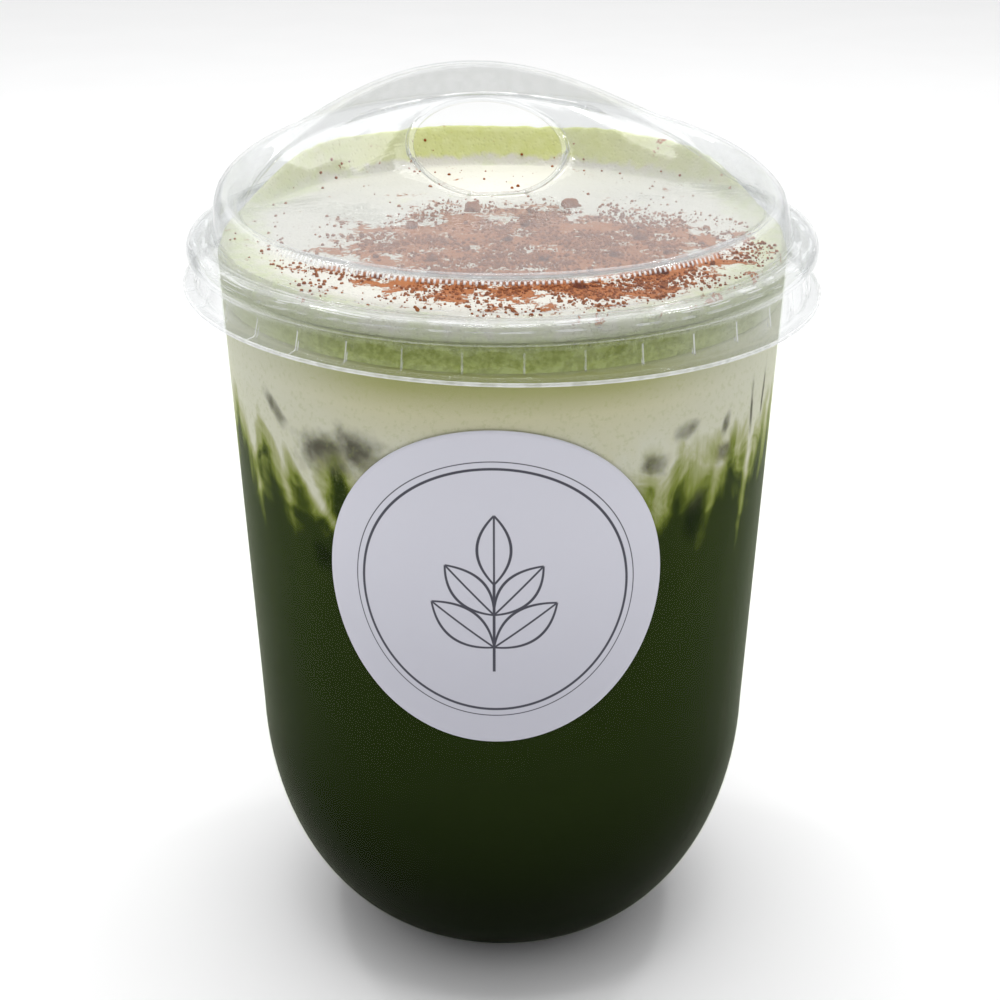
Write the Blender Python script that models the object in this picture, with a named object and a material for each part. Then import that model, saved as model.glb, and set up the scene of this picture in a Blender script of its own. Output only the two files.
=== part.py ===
"""Iced matcha latte in a clear round-bottomed plastic cup with a clear sip-through lid.

The cup stands on z = 0 with its axis on Z. The round sticker faces -Y and the lid's drinking crest is at
the back, towards +Y. Lengths below are millimetres and become metres where a mesh is made.
"""

import math
import random

import bmesh
import bpy
from mathutils import Matrix, Vector

MM = 0.001
COLUMNS = 56             # columns round the axis on every turned piece
CLEARANCE = 0.3          # gap between pieces that touch

# Cup
CUP_WALL = 0.5
CUP_BASE_RADIUS = 16.0   # where the rounded bottom starts
CUP_BOWL_HEIGHT = 40.0   # height of the rounded bottom
CUP_LOW_RADIUS = 41.25   # top of the rounded bottom
CUP_NECK_RADIUS = 43.85  # under the lip
CUP_NECK_Z = 115.0
CUP_FOOT_RADIUS = 18.4   # outer edge of the flat ring that the cup stands on
CUP_PUNT_RADIUS = 13.0   # pushed-up middle of the base
CUP_PUNT_RISE = 1.6
LIP_RADIUS = 45.6        # centre of the rolled lip's section
LIP_Z = 118.9
LIP_ROLL = 1.35          # radius of the rolled lip's section

# Lid
LID_WALL = 0.5
LID_TURN = math.radians(9.0)   # the crest is turned this far from +Y, towards -X
FLANGE_RADIUS = 49.3
FLANGE_Z = 113.3
SKIRT_SKEW = 0.9         # the skirt hangs this much lower at +X and higher at -X
FLUTES = 28
FLUTE_DEPTH = 0.45
PLATE_Z = 124.7          # flat top of the lid, inside the raised ring
RING_INNER_RADIUS = 40.4
SHOULDER_FRONT_Z = 125.3
SHOULDER_RISE = (1.35, 4.9)    # all the way round, and for the back half only
CREST_HALF_WIDTH = math.radians(89)
CREST_RADIUS = 39.6
CREST_HEIGHT = 13.7      # top of the crest above the inner edge of the ring
CREASE_RADIUS = (39.4, 28.0)   # inner foot of the crest, at the sides and in the middle
CREASE_HEIGHT = 10.6
RAMP_FOOT_Y = 4.2        # the ramps beside the mouth hole leave the plate here
HOLE_RADIUS = 11.9
HOLE_Y = 15.05
HOLE_LOW_Y = 4.2         # the sloping pad round the hole meets the plate here
HOLE_SLOPE = math.radians(25)
PAD_RIM = 1.1            # flat ring round the hole
PAD_FLARE = (1.9, 0.3)   # the pad's foot stands this far out, at its low and its high end

# Drink, from the bottom up
MATCHA_TOP_Z = 89.0
MILK_TOP_Z = 112.5
FOAM_TOP_Z = 120.4
FOAM_CROWN = 0.6         # the foam is this much higher in the middle
FOAM_CLIMB = 5.6         # and climbs the wall at the back by this much
WAVE_DEPTH = 2.6         # tongues where the milk hangs into the tea

# Cocoa lumps, fused to the foam
LUMP_COUNT = 34
LUMP_RADII = (0.55, 1.15)
LUMP_CENTRE = (6.0, -12.0)
LUMP_AREA = (30.0, 23.0)  # half width and half depth of the dusted patch
LUMP_SEED = 11

# Sticker
LABEL_RADIUS = 25.4
LABEL_Z = 79.0
LABEL_THICKNESS = 0.2
LABEL_COLUMNS = 32
LABEL_RINGS = 4


def clear_scene():
    for thing in list(bpy.data.objects):
        bpy.data.objects.remove(thing)


def material(name, colour, roughness, alpha=1.0):
    """A Principled material with one colour."""
    made = bpy.data.materials.new(name)
    made.use_nodes = True
    shader = made.node_tree.nodes["Principled BSDF"]
    shader.inputs["Base Color"].default_value = (*colour, 1.0)
    shader.inputs["Roughness"].default_value = roughness
    shader.inputs["Metallic"].default_value = 0.0
    shader.inputs["Alpha"].default_value = alpha
    return made


def add_object(name, mesh_data, finish, closed=True):
    """Wrap a finished bmesh as one named, smooth-shaded object."""
    if closed:
        bmesh.ops.recalc_face_normals(mesh_data, faces=mesh_data.faces)
    mesh = bpy.data.meshes.new(name)
    mesh_data.to_mesh(mesh)
    mesh_data.free()
    mesh.shade_smooth()
    mesh.set_sharp_from_angle(angle=math.radians(40))
    mesh.materials.append(finish)
    thing = bpy.data.objects.new(name, mesh)
    bpy.context.scene.collection.objects.link(thing)
    return thing


def smoothstep(low, high, value):
    share = min(1.0, max(0.0, (value - low) / (high - low)))
    return share * share * (3 - 2 * share)


def mix(a, b, share):
    return a + (b - a) * share


def around(angle):
    """Unit direction in plan. Angle 0 is +Y, and it grows towards +X."""
    return math.sin(angle), math.cos(angle)


def offset_profile(points, distance):
    """Move an open (r, z) line sideways, to the left of its direction."""
    moved = []
    for i, (r, z) in enumerate(points):
        before = points[max(i - 1, 0)]
        after = points[min(i + 1, len(points) - 1)]
        along_r, along_z = after[0] - before[0], after[1] - before[1]
        length = math.hypot(along_r, along_z)
        moved.append((max(0.0, r - along_z / length * distance), z + along_r / length * distance))
    moved[0] = (0.0, moved[0][1]) if points[0][0] == 0 else moved[0]
    return moved


def add_rings(mesh_data, rings):
    """Make the vertices of each ring, or one vertex where a ring is a single point, and join neighbours."""
    made = []
    for ring in rings:
        made.append([mesh_data.verts.new(Vector(point) * MM) for point in ring])
    for low, high in zip(made, made[1:]):
        count = max(len(low), len(high))
        for i in range(count):
            j = (i + 1) % count
            if len(low) == 1:
                mesh_data.faces.new((low[0], high[i], high[j]))
            elif len(high) == 1:
                mesh_data.faces.new((low[j], low[i], high[0]))
            else:
                mesh_data.faces.new((low[j], low[i], high[i], high[j]))
    return made


def circle(radius, height):
    """One ring of points, or a single point on the axis. Either value may be a function of the angle."""
    if radius == 0:
        return [(0.0, 0.0, height)]
    ring = []
    for i in range(COLUMNS):
        angle = 2 * math.pi * i / COLUMNS
        x, y = around(angle)
        r = radius(angle) if callable(radius) else radius
        z = height(angle) if callable(height) else height
        ring.append((r * x, r * y, z))
    return ring


def bowl_radius(z):
    """Outer radius of the cup's wall, an ellipse below and a straight taper above."""
    if z < CUP_BOWL_HEIGHT:
        rise = 1 - z / CUP_BOWL_HEIGHT
        return CUP_BASE_RADIUS + (CUP_LOW_RADIUS - CUP_BASE_RADIUS) * math.sqrt(1 - rise * rise)
    share = (z - CUP_BOWL_HEIGHT) / (CUP_NECK_Z - CUP_BOWL_HEIGHT)
    return mix(CUP_LOW_RADIUS, CUP_NECK_RADIUS, share)


def wall_profile():
    """Outside of the cup from the middle of the base to the neck."""
    heights = (1.0, 3.2, 6.5, 11.0, 17.0, 24.0, 32.0, CUP_BOWL_HEIGHT, CUP_NECK_Z)
    base = [(0.0, CUP_PUNT_RISE), (CUP_PUNT_RADIUS, CUP_PUNT_RISE), (CUP_BASE_RADIUS, 0.0),
            (CUP_FOOT_RADIUS, 0.0)]
    return base + [(bowl_radius(z), z) for z in heights]


def lip_profile():
    """Rolled lip, from the neck outside, under and over the roll, to the inside."""
    arc = []
    for degrees in (-100, -50, 0, 45, 90, 140, 175):
        turn = math.radians(degrees)
        arc.append((LIP_RADIUS + LIP_ROLL * math.cos(turn), LIP_Z + LIP_ROLL * math.sin(turn)))
    return arc


def make_cup(finish):
    """Thin-walled cup: up the outside, over the rolled lip and down the inside."""
    outside = wall_profile()
    inside = offset_profile(outside, CUP_WALL)
    line = outside + lip_profile() + inside[::-1]
    mesh_data = bmesh.new()
    add_rings(mesh_data, [circle(r, z) for r, z in line])
    return add_object("cup", mesh_data, finish)


def crest_weight(angle):
    """1 in the middle of the crest, falling to 0 at its ends."""
    away = abs((angle + LID_TURN + math.pi) % (2 * math.pi) - math.pi)
    if away > CREST_HALF_WIDTH:
        return 0.0
    return 0.5 + 0.5 * math.cos(math.pi * away / CREST_HALF_WIDTH)


def shoulder_z(angle):
    """Height of the raised ring: low in front, high at the back under the crest."""
    back = math.cos(angle + LID_TURN)
    back_half = (math.hypot(back, 0.17) + back) / 2
    return SHOULDER_FRONT_Z + SHOULDER_RISE[0] * (back + 1) + SHOULDER_RISE[1] * back_half


def shoulder_radius(angle):
    """The ring's outer wall leans in at the front and stands upright at the back."""
    return mix(42.6, 43.9, smoothstep(-0.9, 0.2, math.cos(angle + LID_TURN)))


def ridge_z(angle):
    return PLATE_Z + 0.3 + CREST_HEIGHT * crest_weight(angle)


def skirt_drop(angle):
    return -SKIRT_SKEW * math.sin(angle)


def flute(angle):
    """Sharp lines between the skirt's panels, which bulge outwards."""
    return FLUTE_DEPTH * abs(math.sin(angle * FLUTES / 2))


def crease_z(angle):
    weight = crest_weight(angle)
    return PLATE_Z + CREASE_HEIGHT * (0.4 * weight + 0.6 * math.sin(math.pi / 2 * weight))


def crease_radius(angle):
    return mix(*CREASE_RADIUS, smoothstep(0.2, 0.95, crest_weight(angle)))


def lid_plate_z(x, y):
    """Height of the lid's inner face in its own turned plan: a flat plate, and the ramps up to the crest."""
    angle = math.atan2(x, y) - LID_TURN
    crease_y = max(RAMP_FOOT_Y + 1.0, crease_radius(angle) * math.cos(angle + LID_TURN))
    climb = min(1.0, max(0.0, (y - RAMP_FOOT_Y) / (crease_y - RAMP_FOOT_Y)))
    return PLATE_Z + climb * (crease_z(angle) - PLATE_Z)


def pad_z(y):
    """Sloping plane of the pad round the mouth hole."""
    return max(PLATE_Z + 0.2 + math.tan(HOLE_SLOPE) * (y - HOLE_LOW_Y), PLATE_Z + 0.2)


def to_plan(x, y, z):
    """From the lid's own turned plan to the object's."""
    turned = Matrix.Rotation(LID_TURN, 3, "Z") @ Vector((x, y, z))
    return tuple(turned)


def lid_outer_rings():
    """Rings from the flange's edge up the skirt, over the bead and up to the raised ring's outer edge."""
    fixed = [(48.45, 118.4), (48.5, 119.7), (47.9, 120.8), (46.6, 121.35), (45.2, 121.0), (44.6, 121.1)]
    rings = [
        circle(FLANGE_RADIUS, lambda a: FLANGE_Z + skirt_drop(a)),
        circle(47.9, lambda a: FLANGE_Z + 0.3 + skirt_drop(a)),
        circle(lambda a: 47.35 + flute(a), lambda a: FLANGE_Z + 0.9 + skirt_drop(a)),
        circle(lambda a: 46.9 + flute(a), 116.6),
        circle(47.6, 117.5),
    ]
    rings += [circle(r, z) for r, z in fixed]
    rings.append(circle(lambda a: shoulder_radius(a) + 0.1, lambda a: shoulder_z(a) - 1.4))
    rings.append(circle(lambda a: shoulder_radius(a) - 0.6, lambda a: shoulder_z(a) - 0.3))
    rings.append(circle(lambda a: shoulder_radius(a) - 1.6, shoulder_z))
    return rings


def lid_crest_rings():
    """Rings from the raised ring over the crest to the crease at its inner foot."""
    def ridge_radius(angle):
        return mix(RING_INNER_RADIUS, CREST_RADIUS, crest_weight(angle))

    def outside_z(angle):
        return mix(shoulder_z(angle), ridge_z(angle), 0.62) + 0.35

    def inside_z(angle):
        return mix(PLATE_Z, ridge_z(angle) - 0.7, smoothstep(0.0, 0.12, crest_weight(angle)))

    return [
        circle(lambda a: mix(41.2, 40.9, crest_weight(a)), outside_z),
        circle(ridge_radius, ridge_z),
        circle(lambda a: ridge_radius(a) - 0.5 - 1.4 * crest_weight(a), inside_z),
        circle(crease_radius, crease_z),
    ]


def lid_mouth_rings():
    """Rings over the plate and ramps, from inside the crease to the edge of the mouth hole."""
    slope = math.cos(HOLE_SLOPE)
    turns = [2 * math.pi * i / COLUMNS for i in range(COLUMNS)]
    rings = []
    for share in (0.72, 0.38, 0.0):
        ring = []
        for turn in turns:
            x, y = around(turn + LID_TURN)
            flare = mix(*PAD_FLARE, smoothstep(-0.6, 1.0, y))
            foot = HOLE_RADIUS + PAD_RIM + flare
            px = mix(foot * x, crease_radius(turn) * x, share)
            py = mix(HOLE_Y + foot * slope * y, crease_radius(turn) * y, share)
            ring.append(to_plan(px, py, lid_plate_z(px, py)))
        rings.append(ring)
    for radius in (HOLE_RADIUS + PAD_RIM, HOLE_RADIUS):
        ring = []
        for turn in turns:
            x, y = around(turn + LID_TURN)
            py = HOLE_Y + radius * slope * y
            ring.append(to_plan(radius * x, py, pad_z(py)))
        rings.append(ring)
    return rings


def make_lid(finish):
    """One pressed sheet from the skirt's edge to the mouth hole, given its thickness inwards."""
    mesh_data = bmesh.new()
    add_rings(mesh_data, lid_outer_rings() + lid_crest_rings() + lid_mouth_rings())
    lid = add_object("lid", mesh_data, finish, closed=False)
    sheet = lid.modifiers.new("sheet", "SOLIDIFY")
    sheet.thickness = LID_WALL * MM
    sheet.offset = -1.0
    return lid


def wave(angle):
    """Tongues of milk that hang into the tea, by a sum of waves round the wall."""
    return 0.55 * math.sin(3 * angle + 0.6) + 0.3 * math.sin(7 * angle + 2.0) + 0.15 * math.sin(11 * angle)


def drink_radius(z):
    return bowl_radius(z) - CUP_WALL - CLEARANCE


def make_matcha(finish):
    """Green tea: the inside of the cup up to the wavy line under the milk."""
    inner = offset_profile(wall_profile(), CUP_WALL + CLEARANCE)
    wall = [(r, z) for r, z in inner if z < MATCHA_TOP_Z - WAVE_DEPTH - 1.0]
    rings = [circle(r, z) for r, z in wall]
    for share in (1.0, 0.75, 0.4):
        radius = drink_radius(MATCHA_TOP_Z) * share
        rings.append(circle(radius, lambda a, s=share: MATCHA_TOP_Z + WAVE_DEPTH * wave(a) * s))
    rings.append(circle(0, MATCHA_TOP_Z))
    mesh_data = bmesh.new()
    add_rings(mesh_data, rings)
    return add_object("matcha", mesh_data, finish)


def make_milk(finish):
    """Milk layer between the tea and the foam."""
    low = MATCHA_TOP_Z + CLEARANCE
    rings = [circle(0, low)]
    for share in (0.4, 0.75, 1.0):
        radius = drink_radius(MATCHA_TOP_Z) * share
        rings.append(circle(radius, lambda a, s=share: low + WAVE_DEPTH * wave(a) * s))
    rings.append(circle(drink_radius(MILK_TOP_Z), MILK_TOP_Z))
    rings.append(circle(0, MILK_TOP_Z))
    mesh_data = bmesh.new()
    add_rings(mesh_data, rings)
    return add_object("milk", mesh_data, finish)


def foam_z(x, y):
    """Top of the foam: crowned, a little uneven, and climbing the wall at the back."""
    reach = math.hypot(x, y)
    bank = smoothstep(38.5, 42.8, reach) * smoothstep(-0.35, 0.6, y / max(reach, 1.0))
    uneven = 0.25 * math.sin(x * 0.17 + 1.0) * math.cos(y * 0.21)
    return FOAM_TOP_Z + FOAM_CROWN * (1 - (reach / 43.0) ** 2) + FOAM_CLIMB * bank + uneven


def make_foam(finish):
    """Cream foam on top, with the larger lumps of cocoa fused to it."""
    low = MILK_TOP_Z + CLEARANCE
    rings = [circle(0, low), circle(drink_radius(low), low), circle(42.95, FOAM_TOP_Z - 2.2)]
    for radius in (42.7, 41.2, 38.5, 31.0, 20.0, 9.0):
        ring = []
        for x, y, _ in circle(radius, 0.0):
            ring.append((x, y, foam_z(x, y)))
        rings.append(ring)
    rings.append([(0.0, 0.0, foam_z(0.0, 0.0))])
    mesh_data = bmesh.new()
    add_rings(mesh_data, rings)
    foam = add_object("foam", mesh_data, finish)
    lumps = bpy.data.collections.new("cocoa_lumps")
    draw = random.Random(LUMP_SEED)
    for number in range(LUMP_COUNT):
        lumps.objects.link(make_lump(number, draw, finish))
    fuse = foam.modifiers.new("lumps", "BOOLEAN")
    fuse.operation = "UNION"
    fuse.operand_type = "COLLECTION"
    fuse.collection = lumps
    fuse.solver = "EXACT"
    apply_modifiers(foam)
    for lump in list(lumps.objects):
        bpy.data.objects.remove(lump)
    return foam


def make_lump(number, draw, finish):
    """One lump of cocoa, half sunk in the foam, placed by an even spiral over the dusted patch."""
    golden_turn = math.pi * (3 - math.sqrt(5))
    reach = math.sqrt((number + 0.5) / LUMP_COUNT)
    angle = number * golden_turn
    x = LUMP_CENTRE[0] + LUMP_AREA[0] * reach * math.cos(angle) + draw.uniform(-0.8, 0.8)
    y = LUMP_CENTRE[1] + LUMP_AREA[1] * reach * math.sin(angle) + draw.uniform(-0.8, 0.8)
    radius = mix(LUMP_RADII[0], LUMP_RADII[1], draw.random() ** 2)
    mesh_data = bmesh.new()
    bmesh.ops.create_icosphere(mesh_data, subdivisions=1, radius=radius * MM)
    turn = Matrix.Rotation(draw.uniform(0, math.pi), 4, (draw.random(), draw.random(), 0.4))
    place = Matrix.Translation(Vector((x, y, foam_z(x, y) + 0.12 * radius)) * MM)
    flatten = Matrix.Diagonal((1, 1, 0.8, 1))
    bmesh.ops.transform(mesh_data, matrix=place @ flatten @ turn, verts=mesh_data.verts)
    lump = add_object(f"lump_{number:02d}", mesh_data, finish)
    bpy.context.scene.collection.objects.unlink(lump)
    return lump


def apply_modifiers(thing):
    """Replace an object's mesh by what its modifiers make of it."""
    bpy.context.view_layer.update()
    seen = thing.evaluated_get(bpy.context.evaluated_depsgraph_get())
    mesh = bpy.data.meshes.new_from_object(seen)
    thing.modifiers.clear()
    thing.data = mesh


def make_label(finish):
    """Round paper sticker, bent round the tapered wall on the side that faces -Y."""
    taper = math.atan((CUP_NECK_RADIUS - CUP_LOW_RADIUS) / (CUP_NECK_Z - CUP_BOWL_HEIGHT))

    def on_wall(across, up, lift):
        z = LABEL_Z + up * math.cos(taper)
        radius = bowl_radius(z)
        x, y = around(math.pi - across / radius)
        return (radius + lift) * x, (radius + lift) * y, z

    def face_rings(lift):
        rings = [[on_wall(0.0, 0.0, lift)]]
        for step in range(1, LABEL_RINGS + 1):
            reach = LABEL_RADIUS * step / LABEL_RINGS
            turns = [2 * math.pi * i / LABEL_COLUMNS for i in range(LABEL_COLUMNS)]
            rings.append([on_wall(reach * math.sin(t), reach * math.cos(t), lift) for t in turns])
        return rings

    mesh_data = bmesh.new()
    back = face_rings(CLEARANCE)
    front = face_rings(CLEARANCE + LABEL_THICKNESS)
    add_rings(mesh_data, back + front[::-1])
    return add_object("label", mesh_data, finish)


def build():
    clear_scene()
    clear_plastic = material("clear_plastic", (0.93, 0.95, 0.95), 0.05, alpha=0.3)
    make_cup(clear_plastic)
    make_lid(clear_plastic)
    make_matcha(material("matcha_tea", (0.045, 0.075, 0.018), 0.35))
    make_milk(material("milk", (0.60, 0.60, 0.42), 0.4))
    make_foam(material("cream_foam", (0.88, 0.86, 0.76), 0.55))
    make_label(material("label_paper", (0.66, 0.66, 0.73), 0.5))


build()
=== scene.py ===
# %% [markdown]
# # Iced matcha latte in a clear takeaway cup
#
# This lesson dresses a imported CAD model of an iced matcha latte. The CAD model gives six solids in metres:
# the cup, the lid, the tea, the milk, the foam and the sticker. Each one is replaced here by a finer piece
# with a procedural material. The camera, the studio and the small shader language come first.

import math
import random

import bpy
import numpy as np
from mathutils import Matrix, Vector, noise


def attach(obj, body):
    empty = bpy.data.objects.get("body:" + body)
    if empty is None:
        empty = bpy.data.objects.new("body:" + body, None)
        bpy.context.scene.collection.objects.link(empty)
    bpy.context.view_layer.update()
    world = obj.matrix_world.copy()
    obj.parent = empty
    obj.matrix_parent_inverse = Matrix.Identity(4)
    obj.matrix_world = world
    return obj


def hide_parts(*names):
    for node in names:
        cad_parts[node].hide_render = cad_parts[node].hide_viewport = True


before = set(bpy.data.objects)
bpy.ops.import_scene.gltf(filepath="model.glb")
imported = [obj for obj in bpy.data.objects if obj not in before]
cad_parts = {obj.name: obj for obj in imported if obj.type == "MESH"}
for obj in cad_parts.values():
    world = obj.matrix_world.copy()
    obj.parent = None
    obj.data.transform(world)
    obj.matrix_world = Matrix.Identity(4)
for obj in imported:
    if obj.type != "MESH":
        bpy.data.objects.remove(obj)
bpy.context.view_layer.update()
MM = 0.001
print("CAD nodes:", sorted(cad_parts))

# %% [markdown]
# ## Camera
#
# The picture was taken from a little above the lid. The round rims of the cup give the camera away: how wide
# each ellipse is against its height says how steeply the camera looks down, and how fast the ellipses change
# from lid to foot says how far away it stands. The solved values are kept as named numbers.

# %% Make the camera
CAMERA_TARGET_Z = 0.07402
CAMERA_DISTANCE = 0.290
CAMERA_PITCH = math.radians(24.644)
SENSOR_WIDTH = 36.0
LENS = 62.91
SHIFT_X = -0.0025

camera = bpy.data.objects.new("camera", bpy.data.cameras.new("camera"))
bpy.context.scene.collection.objects.link(camera)
camera_height = CAMERA_TARGET_Z + CAMERA_DISTANCE * math.sin(CAMERA_PITCH)
camera.location = (0.0, -CAMERA_DISTANCE * math.cos(CAMERA_PITCH), camera_height)
camera.rotation_euler = (math.pi / 2 - CAMERA_PITCH, 0.0, 0.0)
camera.data.sensor_width = SENSOR_WIDTH
camera.data.lens = LENS
camera.data.shift_x = SHIFT_X
camera.data.clip_start = 0.01
bpy.context.scene.camera = camera
print("camera at", [round(c, 4) for c in camera.location])

# %% [markdown]
# ## A small language for shaders
#
# Shader maths is easier to read as Python. This class wraps one socket of a node tree and overloads the
# operators, so that `1 - mask` adds a Math node. Every other node comes from one method, `node`, which takes
# the node's type, the values or links of its sockets, and its settings.

# %% Wrap a socket


class Paint:
    """One socket of a node tree, written as a Python value."""

    def __init__(self, tree, socket=None):
        self.tree = tree
        self.socket = socket

    def node(self, kind, inputs=None, output=0, stops=None, **settings):
        made = self.tree.nodes.new(kind)
        for name, value in settings.items():
            setattr(made, name, value)
        if stops:
            ramp = made.color_ramp
            while len(ramp.elements) < len(stops):
                ramp.elements.new(0.5)
            for element, (position, colour) in zip(ramp.elements, stops):
                element.position = position
                element.color = (*colour, 1.0)
        for key, value in (inputs or {}).items():
            if isinstance(value, Paint):
                self.tree.links.new(value.socket, made.inputs[key])
            else:
                made.inputs[key].default_value = value
        return Paint(self.tree, made.outputs[output]) if made.outputs else None

    def math(self, operation, *values):
        return self.node("ShaderNodeMath", dict(enumerate(values)), operation=operation)

    def __add__(self, other):
        return self.math("ADD", self, other)

    def __sub__(self, other):
        return self.math("SUBTRACT", self, other)

    def __rsub__(self, other):
        return self.math("SUBTRACT", other, self)

    def __mul__(self, other):
        return self.math("MULTIPLY", self, other)

    def __truediv__(self, other):
        return self.math("DIVIDE", self, other)

    __radd__ = __add__
    __rmul__ = __mul__

    def high(self, other):
        return self.math("MAXIMUM", self, other)

    def low(self, other):
        return self.math("MINIMUM", self, other)

    def size(self):
        return self.math("ABSOLUTE", self)

    def step(self, start, end, to_start=0.0, to_end=1.0):
        """A soft step from to_start to to_end as this value goes from start to end."""
        values = {"Value": self, "From Min": start, "From Max": end, "To Min": to_start, "To Max": to_end}
        return self.node("ShaderNodeMapRange", values, interpolation_type="SMOOTHSTEP")

    def noise(self, scale, detail=2.0, roughness=0.5, distortion=0.0):
        values = {"Vector": self, "Scale": scale, "Detail": detail, "Roughness": roughness}
        values["Distortion"] = distortion
        return self.node("ShaderNodeTexNoise", values)

    def cells(self, scale, output="Distance", **settings):
        return self.node("ShaderNodeTexVoronoi", {"Vector": self, "Scale": scale}, output, **settings)

    def split(self):
        parted = self.node("ShaderNodeSeparateXYZ", {0: self}).socket.node
        return [Paint(self.tree, socket) for socket in parted.outputs]

    def vector(self, x, y, z):
        return self.node("ShaderNodeCombineXYZ", {0: x, 1: y, 2: z})

    def place(self):
        """The point on the object in millimetres."""
        point = self.node("ShaderNodeTexCoord", output="Object")
        return self.node("ShaderNodeVectorMath", {0: point, "Scale": 1000.0}, operation="SCALE")

    def blend(self, first, second):
        """Mix two colours by this value."""
        made = self.node("ShaderNodeMix", data_type="RGBA").socket.node
        sockets = {s.identifier: s for s in made.inputs}
        for key, value in (("Factor_Float", self), ("A_Color", first), ("B_Color", second)):
            if isinstance(value, Paint):
                self.tree.links.new(value.socket, sockets[key])
            else:
                sockets[key].default_value = (*value, 1.0)
        outs = {s.identifier: s for s in made.outputs}
        return Paint(self.tree, outs["Result_Color"])

    def bump(self, depth, strength=1.0):
        """Turn this height, times depth in metres, into a normal."""
        return self.node("ShaderNodeBump", {"Height": self, "Distance": depth, "Strength": strength})


def new_material(name):
    """A material with an empty tree, and a Paint to start from."""
    made = bpy.data.materials.new(name)
    made.use_nodes = True
    made.node_tree.nodes.clear()
    return made, Paint(made.node_tree)


def finish_material(paint, shader):
    """Send a shader to the material's output."""
    paint.node("ShaderNodeOutputMaterial", {"Surface": shader})


def principled(paint, **sockets):
    """A Principled shader. Socket names are written with underscores."""
    values = {key.replace("_", " "): value for key, value in sockets.items()}
    return paint.node("ShaderNodeBsdfPrincipled", values)


# %% [markdown]
# ## Studio
#
# Clear plastic shows only what it reflects, so the surroundings matter as much as the lamps. A white room
# behind and beside the cup puts pale reflections on the lid and along the cup's edges. The camera's side of
# the room is darker, which keeps the front of the cup free of glare. One big soft lamp overhead lights the
# foam and the floor.

# %% Make the floor, the room and the lamps
ROOM_COLOUR = (1.0, 1.0, 1.0)
ROOM_FRONT = (0.32, 0.32, 0.33)
ROOM_STRENGTH = 0.92
FLOOR_REACH = 6.0

world = bpy.data.worlds.new("studio")
bpy.context.scene.world = world
world.use_nodes = True
world.node_tree.nodes.clear()
room = Paint(world.node_tree)
toward = room.node("ShaderNodeTexCoord", output="Generated")
side, depth, height = toward.split()
backdrop = (depth + height * 0.55).step(-0.75, 0.35).blend(ROOM_FRONT, ROOM_COLOUR)
room_light = room.node("ShaderNodeBackground", {"Color": backdrop, "Strength": ROOM_STRENGTH})
room.node("ShaderNodeOutputWorld", {"Surface": room_light})


def soft_lamp(name, place, aim, size, power):
    """A square lamp that points at a spot."""
    lamp = bpy.data.objects.new(name, bpy.data.lights.new(name, "AREA"))
    lamp.data.shape = "RECTANGLE"
    lamp.data.size, lamp.data.size_y = size
    lamp.data.energy = power
    lamp.location = place
    lamp.rotation_euler = (Vector(aim) - Vector(place)).to_track_quat("-Z", "Y").to_euler()
    bpy.context.scene.collection.objects.link(lamp)
    return lamp


soft_lamp("overhead", (0.0, 0.15, 0.9), (0.0, 0.0, 0.1), (0.9, 0.7), 4.2)
soft_lamp("left_glint", (-0.35, 0.25, 0.75), (0.0, 0.0, 0.12), (0.07, 0.07), 0.5)
soft_lamp("right_glint", (0.35, 0.25, 0.75), (0.0, 0.0, 0.12), (0.07, 0.07), 0.5)
soft_lamp("front_glint", (0.0, -0.15, 0.85), (0.0, 0.0, 0.12), (0.22, 0.06), 0.6)

floor_material, paint = new_material("studio_floor")
grain = paint.place().noise(0.02, 3.0)
floor_colour = grain.blend((0.90, 0.90, 0.90), (0.93, 0.93, 0.93))
finish_material(paint, principled(paint, Base_Color=floor_colour, Roughness=0.7))
floor_mesh = bpy.data.meshes.new("floor")
corners = [(sx * FLOOR_REACH, sy * FLOOR_REACH, 0) for sx, sy in ((-1, -1), (1, -1), (1, 1), (-1, 1))]
floor_mesh.from_pydata(corners, [], [(0, 1, 2, 3)])
floor_mesh.materials.append(floor_material)
floor = bpy.data.objects.new("floor", floor_mesh)
bpy.context.scene.collection.objects.link(floor)
bpy.context.scene.view_settings.view_transform = "Standard"

# %% [markdown]
# ## From rings to a skin
#
# Almost every piece here is turned on one axis, so it is easiest to describe as a stack of rings. One helper
# joins rings of equal length into a mesh. Another passes a smooth curve through the rings, so that a few of
# them can stand for a rounded surface.

# %% Helpers for ringed pieces


def mix(a, b, share):
    """The value a share of the way from a to b."""
    return a + (b - a) * share


def smoothstep(low, high, value):
    """A soft step from 0 to 1 as the value goes from low to high."""
    share = np.clip((value - low) / (high - low), 0.0, 1.0)
    return share * share * (3 - 2 * share)


def turns(columns):
    """Angles round the axis. Angle 0 is +Y, and it grows towards +X."""
    return np.arange(columns) * 2 * math.pi / columns


def ring(angles, radius, height):
    """One ring of points. Radius and height may be numbers or arrays."""
    r = np.broadcast_to(radius, angles.shape)
    z = np.broadcast_to(height, angles.shape)
    return np.stack([r * np.sin(angles), r * np.cos(angles), z], axis=1)


def smooth_rings(rings, steps):
    """Pass a smooth curve through the rings and read it at more places."""
    rings = np.array(rings)
    padded = np.concatenate([rings[:1], rings, rings[-1:]])
    finer = []
    for i in range(len(rings) - 1):
        a, b, c, d = padded[i:i + 4]
        for k in range(steps):
            t = k / steps
            bend = (2 * a - 5 * b + 4 * c - d) * t ** 2
            twist = (3 * b - a - 3 * c + d) * t ** 3
            finer.append(0.5 * (2 * b + (c - a) * t + bend + twist))
    finer.append(rings[-1])
    return finer


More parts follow.
